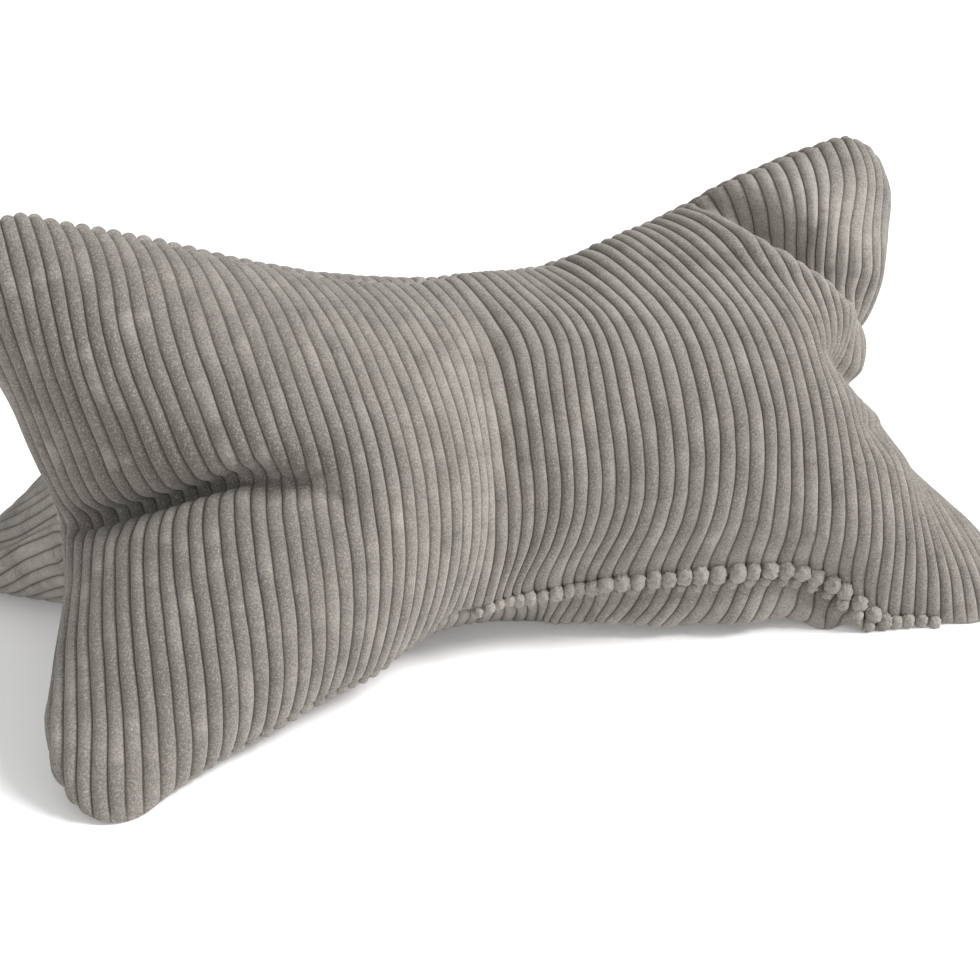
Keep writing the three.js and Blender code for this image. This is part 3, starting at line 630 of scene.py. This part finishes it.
# %% Rib profile
RIB_HEIGHT = 2.4
HEIGHT_SPREAD = 0.1                  # how much one rib differs from another
ROUNDNESS = 0.7                      # the power of a round cord; 0.5 would be half a circle
END_HEIGHT = 0.6                     # of the half rib at each end
SEAM_DEPTH, SEAM_WIDTH = 1.0, 2
PINCH, PINCH_WIDTH = 0.7, 1.8        # how much the stitches flatten a rib, and how far from the seam
FLAT_ON_FLOOR = 8.0                  # below this height the ribs get flatter
FLATTEST = 0.1
rib_heights = 1 + HEIGHT_SPREAD * rng.standard_normal(RIB_COUNT + 1)


def rib_profile(rib):
    """Height of the round cord of a rib, 0 in a groove and 1 on its crest."""
    edge = np.abs(rib) > LAST_GROOVE
    within = np.where(edge, (np.abs(rib) - LAST_GROOVE) * 2, rib - np.floor(rib))
    height = np.maximum(0, 1 - (2 * within - 1) ** 2) ** ROUNDNESS
    return np.where(edge, END_HEIGHT * height, height)


def relief(flatten):
    """How far the cloth stands out from the smooth surface, in millimetres."""
    number = np.clip(np.floor(flat_rib + END_RIB + 0.5).astype(int), 0, RIB_COUNT)
    height = rib_profile(flat_rib) * rib_heights[number] * flatten
    pinch = 1 - PINCH * bump(seam_distance, PINCH_WIDTH)
    return RIB_HEIGHT * (height * pinch - 0.5) - SEAM_DEPTH * bump(seam_distance, SEAM_WIDTH)


lowest_rib, highest_rib = RIB_HEIGHT * rib_heights.min(), RIB_HEIGHT * rib_heights.max()
print("ribs", lowest_rib.round(1), "to", highest_rib.round(1), "mm high")

# %% Build the three surfaces
NORMAL_FADE = 5                      # nearer to an edge the coarse normals take over


def whole_panel(values, panel):
    """Joins the two halves of a panel into rows from its lower seam to its upper one."""
    return np.concatenate([values[panel, LOWER], values[panel, UPPER, :, -2::-1]], axis=1)


def panel_surface(panel):
    """Points of a panel's fine surface, [column, row, 3]."""
    columns = np.interp(flat_rib + wander(flat_rib, flat_y), ribs, np.arange(len(ribs)))
    rows = (flat_y / fine_widths[:, None] + 1) * MIDDLE
    points = sample(whole_panel(pillow_grid, panel), columns, rows)
    sewn_normals = unit(sample(whole_panel(surface_normals(pillow_grid), panel), columns, rows))
    points, flatten = press_creases(points, panel)
    own = np.clip(edge_distance() / NORMAL_FADE, 0, 1)[..., None]
    normals = unit(fine_normals(points) * own + sewn_normals * (1 - own))
    lifted = np.clip(points[..., 2] / FLAT_ON_FLOOR, FLATTEST, 1)
    points = points + normals * (relief(flatten) * lifted)[..., None]
    points[..., 2] = np.maximum(points[..., 2], 0)
    return points


surfaces = {panel: panel_surface(panel) for panel in (FRONT, BACK, BASE)}
corners = np.concatenate([points.reshape(-1, 3) for points in surfaces.values()])
middle = (corners.min(0) + corners.max(0)) / 2
shift = np.array([-middle[0], -middle[1], 0])
print("fine size in mm", np.ptp(corners, axis=0).round(1), "moved by", shift.round(1))

# %% [markdown]
# Meshes. Each panel is its own piece, as it is for the maker. Its flat place is kept as a UV map, so that
# the material can follow the ribs whatever the cloth does. A short table of soft areas paints light and shade
# into the colour: painted shade on the left end, its crease and lobes, in the waist valley and on the lower
# right lobe, painted light at the waist, on top of the belly, on the upper right lobe behind its ridge, on
# the rear fin and on the base. That could be painted by hand; here the table becomes an attribute of the
# points, which the material reads.

# %% Make the panel meshes
MILLIMETRE = 0.001
FLAT_UNIT = 100                      # millimetres of cloth for 1 on the UV map
PAINTED_LIGHT_AND_SHADE = [  # panel, rib, v, reach across, reach along, how much painted light there is (painted shade below 0)
    (FRONT, -26, 0, 95, 110, -0.65),
    (FRONT, -32, 0.75, 50, 60, -0.55),
    (FRONT, -27, 0.16, 40, 20, -0.5),
    (FRONT, -29, 0.02, 70, 8, -1.1),
    (FRONT, -20, -0.03, 25, 8, -0.9),
    (FRONT, -30, -0.75, 50, 45, -0.35),
    (FRONT, -10, -0.1, 45, 120, 0.25),
    (FRONT, -4, -0.2, 20, 70, 0.2),
    (FRONT, 0.5, -0.3, 10, 50, -0.6),
    (FRONT, 8, -0.25, 45, 40, -0.2),
    (FRONT, 11, 0.6, 70, 40, 0.35),
    (FRONT, 27, 0.7, 30, 40, 1.2),
    (FRONT, 33, 0.6, 30, 60, 0.5),
    (FRONT, 27, -0.8, 45, 45, -0.25),
    (BASE, 8, 0.85, 120, 30, 0.25),
    (BACK, -33, -0.1, 60, 60, 0.7),
    (BASE, -34, -0.4, 60, 60, 0.9),
]
PANEL_NAMES = {FRONT: "front_panel", BACK: "back_panel", BASE: "base_panel"}


def painted_light_and_shade_of(panel):
    """How much painted light (painted shade below 0) lies at every point of a panel."""
    painted_light_and_nap = np.zeros(flat_rib.shape)
    for owner, rib, v, across, along, change in PAINTED_LIGHT_AND_SHADE:
        if owner == panel:
            x, y = place(rib, v)
            painted_light_and_nap += change * bump(flat_rib * RIB_PITCH - x, across) * bump(flat_y - y, along)
    return painted_light_and_nap


def make_piece(name, vertices, faces, flat, painted_light_and_nap):
    """Makes a smooth-shaded object from points in millimetres, their flat places and their painted light and
    nap.
    """
    mesh = bpy.data.meshes.new(name)
    mesh.from_pydata(((vertices + shift) * MILLIMETRE).tolist(), [], faces.tolist())
    mesh.polygons.foreach_set("use_smooth", [True] * len(mesh.polygons))
    loops = np.empty(len(mesh.loops), int)
    mesh.loops.foreach_get("vertex_index", loops)
    cloth = mesh.uv_layers.new(name="cloth")
    cloth.data.foreach_set("uv", (flat[loops] / FLAT_UNIT).ravel())
    # the attribute holds the painted light and shade of the soft areas, and the beads' lighter nap
    brushing_and_painted_light = mesh.attributes.new("painted_light_and_nap", "FLOAT", "POINT")
    brushing_and_painted_light.data.foreach_set("value", painted_light_and_nap)
    piece = bpy.data.objects.new(name, mesh)
    bpy.context.scene.collection.objects.link(piece)
    return piece


def make_panel(panel):
    """Makes a panel's object from its fine surface."""
    points = surfaces[panel]
    columns, rows = points.shape[:2]
    number = np.arange(columns * rows).reshape(columns, rows)
    quads = np.stack([number[:-1, :-1], number[1:, :-1], number[1:, 1:], number[:-1, 1:]], axis=-1)
    flat = np.stack([flat_rib * RIB_PITCH, flat_y], axis=-1)
    return make_piece(PANEL_NAMES[panel], points.reshape(-1, 3), quads.reshape(-1, 4),
                      flat.reshape(-1, 2), painted_light_and_shade_of(panel).ravel())


panels = [make_panel(panel) for panel in (FRONT, BACK, BASE)]
print({piece.name: 2 * len(piece.data.polygons) for piece in panels}, "triangles")

# %% [markdown]
# Seam beads. Along the lifted part of the front seam the stitches cut each rib off and its end swells into
# a round bead, one on the front panel's side and a smaller one under it on the base's side. A groove across
# the ribs would not make them stand free, so they are small lumpy balls set on the seam, drawn out along
# their rib and a little uneven.

# %% Make the seam beads
FIRST_BEAD, LAST_BEAD = -5, 29
BEAD_SIZES = [  # rib, radius, radius of the bead under it
    (-5, 2.6, 0.5),
    (0, 3.5, 0.8),
    (8, 4.4, 1.6),
    (14, 4.6, 3),
    (22, 4.5, 3.4),
    (25, 4, 3),
    (29, 3, 2),
]
BEAD_UP, BEAD_OUT = 0.7, 1.8         # of its radius up its rib, and millimetres out from the seam
UNDER_DOWN, UNDER_OUT = 0.9, 1.2     # the same for the bead under it, down the base's rib
BEAD_SIZE, BEAD_UNEVEN = 0.95, 0.07
BEAD_STRAY = 0.35                    # millimetres
BEAD_WAVES = 9                       # waves that make a bead lumpy
LUMP_FINENESS, LUMP_HEIGHT = 9, 0.03
BEAD_LONG = 0.25                     # how much longer a bead is along its rib
BEAD_STEPS, BEAD_TURNS = 20, 28
BEAD_NAP = 0.6                       # the ends of the ribs show more of their light pile
BEAD_LOWEST = 0.05                   # above the floor, in millimetres


def ball():
    """Points and faces of a unit ball."""
    rise = np.linspace(0, math.pi, BEAD_STEPS + 1)
    turn = np.arange(BEAD_TURNS) * 2 * math.pi / BEAD_TURNS
    points = np.stack([np.outer(np.sin(rise), np.cos(turn)), np.outer(np.sin(rise), np.sin(turn)),
                       np.repeat(np.cos(rise)[:, None], BEAD_TURNS, 1)], axis=-1)
    number = np.arange(points[..., 0].size).reshape(points.shape[:2])
    after = np.roll(number, -1, axis=1)
    faces = np.stack([number[:-1], number[1:], after[1:], after[:-1]], axis=-1)
    return points.reshape(-1, 3), faces.reshape(-1, 4)


def seam_beads():
    """Makes all the beads as one object."""
    points, faces = ball()
    seam = pillow_grid[FRONT, LOWER, :, 0]
    away = surface_normals(pillow_grid)[FRONT, LOWER, :, 0]
    up = unit(pillow_grid[FRONT, LOWER, :, 1] - seam)
    under = unit(pillow_grid[BASE, UPPER, :, 1] - seam)
    sizes = np.array(BEAD_SIZES)
    vertices, quads, flat = [], [], []
    for rib in np.arange(FIRST_BEAD, LAST_BEAD) + 0.5:
        radius, under_radius = (np.interp(rib, sizes[:, 0], sizes[:, column]) for column in (1, 2))
        column = rib + LAST_GROOVE + 1
        at = [np.array([np.interp(column, np.arange(len(ribs)), curve[:, axis]) for axis in range(3)])
              for curve in (seam, away, up, under)]
        rows = ((at[2] * BEAD_UP * radius + at[1] * BEAD_OUT, radius),
                (at[3] * UNDER_DOWN * radius + at[1] * UNDER_OUT, under_radius))
        for offset, size in rows:
            uneven = BEAD_SIZE + BEAD_UNEVEN * rng.standard_normal(3)
            centre = at[0] + offset + rng.normal(0, BEAD_STRAY, 3)
            waves = points @ rng.normal(0, LUMP_FINENESS, (3, BEAD_WAVES))
            waves = waves + rng.uniform(0, 2 * math.pi, BEAD_WAVES)
            lumps = 1 + LUMP_HEIGHT * np.sin(waves).sum(1)
            lumps *= 1 + BEAD_LONG * np.abs(points @ at[2])
            quads.append(faces + len(points) * len(quads))
            vertices.append(centre + points * size * uneven * lumps[:, None])
            flat.append(np.full((len(points), 2), (rib * RIB_PITCH, 0)))
    vertices = np.concatenate(vertices)
    vertices[:, 2] = np.maximum(vertices[:, 2], BEAD_LOWEST)
    return make_piece("seam_beads", vertices, np.concatenate(quads), np.concatenate(flat),
                      np.full(len(vertices), BEAD_NAP))


beads = seam_beads()
print(2 * len(beads.data.polygons), "triangles in the beads")

# %% [markdown]
# Shader helpers. A material is a tree of nodes, which could be placed one by one in the Shader Editor. In a
# script that gets long, so a socket is wrapped and shader maths reads as plain maths.

# %% Shader helpers
class Value:
    """A shader value: arithmetic on it adds Math nodes."""

    def __init__(self, shader, socket):
        self.shader, self.socket = shader, socket

    def math(self, operation, *others):
        return self.shader.value("ShaderNodeMath", {"operation": operation}, [self, *others])

    def __add__(self, other):
        return self.math("ADD", other)

    def __sub__(self, other):
        return self.math("SUBTRACT", other)

    def __rsub__(self, other):
        return self.shader.value("ShaderNodeMath", {"operation": "SUBTRACT"}, [other, self])

    def __mul__(self, other):
        return self.math("MULTIPLY", other)

    __radd__, __rmul__ = __add__, __mul__


class Shader:
    """A material's node tree and the one method that adds a node to it."""

    def __init__(self, name):
        self.material = bpy.data.materials.new(name)
        self.material.use_nodes = True
        self.tree = self.material.node_tree
        self.surface = self.tree.nodes["Principled BSDF"]

    def link(self, socket, value):
        if isinstance(value, Value):
            self.tree.links.new(value.socket, socket)
        else:
            socket.default_value = value

    def value(self, kind, settings=None, inputs=(), output=0):
        """Adds a node: its settings first, then its sockets by number or name."""
        node = self.tree.nodes.new(kind)
        for name, setting in (settings or {}).items():
            setattr(node, name, setting)
        named = inputs.items() if isinstance(inputs, dict) else enumerate(inputs)
        for name, given in named:
            self.link(node.inputs[name], given)
        return Value(self, node.outputs[output])

    def mix(self, factor, first, second):
        """Mixes two colours."""
        inputs = {0: factor, 6: first, 7: second}
        return self.value("ShaderNodeMix", {"data_type": "RGBA"}, inputs, output=2)

    def spread(self, value, low, high):
        """A value stretched so that low becomes 0 and high becomes 1."""
        return self.value("ShaderNodeMapRange", {}, [value, low, high, 0, 1])

    def noise(self, place, scale, detail, roughness):
        inputs = {"Vector": place, "Scale": scale, "Detail": detail, "Roughness": roughness}
        return self.value("ShaderNodeTexNoise", {}, inputs)

    def feed(self, name, value):
        self.link(self.surface.inputs[name], value)


# %% [markdown]
# The corduroy. Its colour is a grey taupe. The grooves are painted darker, as painted shade in the narrow
# recess between the ribs. On the ribs the nap lies in patches, brushed one way or the other, which turns the
# colour a little lighter or darker, each rib in its own way, and single tufts make a fine speckle. Over this
# go the painted light and shade of the soft areas. A picture of cloth could be laid on, but it would show its
# edges and repeat; noise does neither, and it reads the flat place of the cloth only where something has to
# follow a rib.

# %% Corduroy material
RIB_COLOUR = (0.29, 0.268, 0.239, 1)
# painted shade: the colour that the grooves between the ribs are darkened towards
PAINTED_GROOVE_SHADE = (0.08, 0.072, 0.063, 1)
LIGHT_NAP_AND_PAINTED_LIGHT = (0.50, 0.468, 0.426, 1)
DARK_NAP_AND_PAINTED_SHADE = (0.14, 0.128, 0.113, 1)
NOISES = {  # scale, detail, roughness
    "brushing_and_painted_light": (1, 3, 0.6),
    "patches": (22, 2, 0.5),
    "strokes": (120, 3, 0.65),
    "pile": (300, 3, 0.6),
    "tufts": (1100, 3, 0.8),
}
NAP_AND_PAINTED_LIGHT_LAYERS = [  # from, to, share, colour, in the order in which they cover each other
    # the first two layers paint light and shade from the soft areas on the mesh; the rest is nap
    ("painted_light_and_nap", 0, 1, 1, LIGHT_NAP_AND_PAINTED_LIGHT),
    ("painted_light_and_nap", 0, -1, 1, DARK_NAP_AND_PAINTED_SHADE),
    ("brushing_and_painted_light", 0.52, 0.7, 0.5, LIGHT_NAP_AND_PAINTED_LIGHT),
    ("brushing_and_painted_light", 0.48, 0.33, 0.6, DARK_NAP_AND_PAINTED_SHADE),
    ("patches", 0.35, 0.65, 0.2, DARK_NAP_AND_PAINTED_SHADE),
    ("strokes", 0.35, 0.65, 0.3, DARK_NAP_AND_PAINTED_SHADE),
    ("tufts", 0.5, 0.65, 0.55, LIGHT_NAP_AND_PAINTED_LIGHT),
    ("tufts", 0.5, 0.35, 0.6, DARK_NAP_AND_PAINTED_SHADE),
]
# where and how strongly the grooves are painted darker, as shade
GROOVE_EDGES = (0.02, 0.22)          # of half a rib, from the groove
GROOVE_SHADE_SHARE = 0.65
OWN_STEP = 0.61                      # from one rib's place in the noise to the next one's
OWN_FINENESS = 3.5                   # of the noise along a rib
TUFT_HEIGHT = 0.7                    # of the pile's


def rib_maps(shader):
    """The groove between two ribs, 1 at its bottom, and a place in the noise that is each rib's own."""
    flat = shader.value("ShaderNodeUVMap", {"uv_map": "cloth"})
    across = shader.value("ShaderNodeSeparateXYZ", {}, [flat]) * (FLAT_UNIT / RIB_PITCH)
    along = shader.value("ShaderNodeSeparateXYZ", {}, [flat], output=1)
    from_groove = across.math("PINGPONG", 0.5) * 2
    crest = shader.value("ShaderNodeMapRange", {"interpolation_type": "SMOOTHSTEP"},
                         [from_groove, *GROOVE_EDGES, 0, 1])
    own_place = [across.math("FLOOR") * OWN_STEP, along * OWN_FINENESS]
    return 1 - crest, shader.value("ShaderNodeCombineXYZ", {}, own_place)


def corduroy():
    """The corduroy: nap and painted light over the rib's colour, painted shade in the grooves, a sheen and a
    bump.
    """
    shader = Shader("corduroy")
    body = shader.value("ShaderNodeTexCoord", output=3)
    painted_groove_shade, own_place = rib_maps(shader)
    maps = {name: shader.noise(own_place if name == "brushing_and_painted_light" else body, *settings)
            for name, settings in NOISES.items()}
    # the soft areas of painted light and shade, read from the points
    maps["painted_light_and_nap"] = shader.value("ShaderNodeAttribute", {"attribute_name": "painted_light_and_nap"}, output=2)
    colour = RIB_COLOUR
    for name, low, high, share, layer_colour in NAP_AND_PAINTED_LIGHT_LAYERS:
        colour = shader.mix(shader.spread(maps[name], low, high) * share, colour, layer_colour)
    # painted shade darkens the grooves
    shader.feed("Base Color", shader.mix(painted_groove_shade * GROOVE_SHADE_SHARE, colour, PAINTED_GROOVE_SHADE))
    shader.feed("Roughness", 0.95)
    shader.feed("Sheen Weight", 0.3)
    shader.feed("Sheen Roughness", 0.5)
    shader.feed("Sheen Tint", (0.95, 0.93, 0.9, 1))
    shader.feed("Specular IOR Level", 0.1)
    height = maps["tufts"] * TUFT_HEIGHT + maps["pile"]
    pile_bump = {"Strength": 0.8, "Distance": 0.0008, "Height": height}
    shader.feed("Normal", shader.value("ShaderNodeBump", {}, pile_bump))
    return shader.material


cloth = corduroy()
for piece in [*panels, beads]:
    piece.data.materials.append(cloth)
    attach(piece, "root")
    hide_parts("pillow")
    print("corduroy on", piece.name)

# %% [markdown]
# The studio. A plain pale floor that runs out of view and glows a little, as a lit sweep does, so that the
# shadows on it stay light. A soft key light from the right and a very wide one from above; area lamps could
# do the same, but suns are as strong everywhere. The camera stands where the photograph was taken: a short
# telephoto, a little to the left and above.

# %% Floor
FLOOR_REACH = 40                     # metres each way
FLOOR_GLOW = 0.16


def floor():
    mesh = bpy.data.meshes.new("floor")
    corners = [(-FLOOR_REACH, -FLOOR_REACH, 0), (FLOOR_REACH, -FLOOR_REACH, 0),
               (FLOOR_REACH, FLOOR_REACH, 0), (-FLOOR_REACH, FLOOR_REACH, 0)]
    mesh.from_pydata(corners, [], [(0, 1, 2, 3)])
    plain = Shader("pale_floor")
    plain.feed("Base Color", (0.95, 0.95, 0.95, 1))
    plain.feed("Roughness", 0.9)
    plain.feed("Specular IOR Level", 0.1)
    plain.feed("Emission Color", (1, 1, 1, 1))
    plain.feed("Emission Strength", FLOOR_GLOW)
    mesh.materials.append(plain.material)
    ground = bpy.data.objects.new("floor", mesh)
    bpy.context.scene.collection.objects.link(ground)
    print("floor", 2 * FLOOR_REACH, "m wide")


floor()

# %% Light
TARGET = Vector(((5 + shift[0]) * MILLIMETRE, shift[1] * MILLIMETRE, 0.06))
SKY_STRENGTH = 0.08


def aim(thing, azimuth, elevation, distance):
    """Puts a lamp or the camera at angles in degrees round the target, and turns it to look there."""
    turn, rise = math.radians(azimuth), math.radians(elevation)
    back = Vector((math.sin(turn) * math.cos(rise), -math.cos(turn) * math.cos(rise), math.sin(rise)))
    thing.location = TARGET + back * distance
    thing.rotation_euler = (-back).to_track_quat("-Z", "Y").to_euler()
    bpy.context.scene.collection.objects.link(thing)


def sun_light(name, azimuth, elevation, spread, power):
    """A sun lamp; its spread is the angle that it covers in the sky, in degrees."""
    light = bpy.data.lights.new(name, "SUN")
    light.energy = power
    light.angle = math.radians(spread)
    aim(bpy.data.objects.new(name, light), azimuth, elevation, 2)
    print(name, "light of strength", power)


sun_light("key", 58, 42, 25, 3.1)
sun_light("top", -20, 72, 120, 1.6)
world = bpy.data.worlds.new("studio")
world.use_nodes = True
sky = world.node_tree.nodes["Background"]
sky.inputs["Color"].default_value = (1, 1, 1, 1)
sky.inputs["Strength"].default_value = SKY_STRENGTH
bpy.context.scene.world = world
bpy.context.scene.view_settings.view_transform = "Standard"

# %% Camera
AZIMUTH, ELEVATION = -24, 23
DISTANCE = 0.9
LENS, SENSOR = 57.5, 36

camera_data = bpy.data.cameras.new("camera")
camera_data.lens = LENS
camera_data.sensor_width = SENSOR
camera = bpy.data.objects.new("camera", camera_data)
aim(camera, AZIMUTH, ELEVATION, DISTANCE)
bpy.context.scene.camera = camera
print("camera at", [round(v, 3) for v in camera.location])
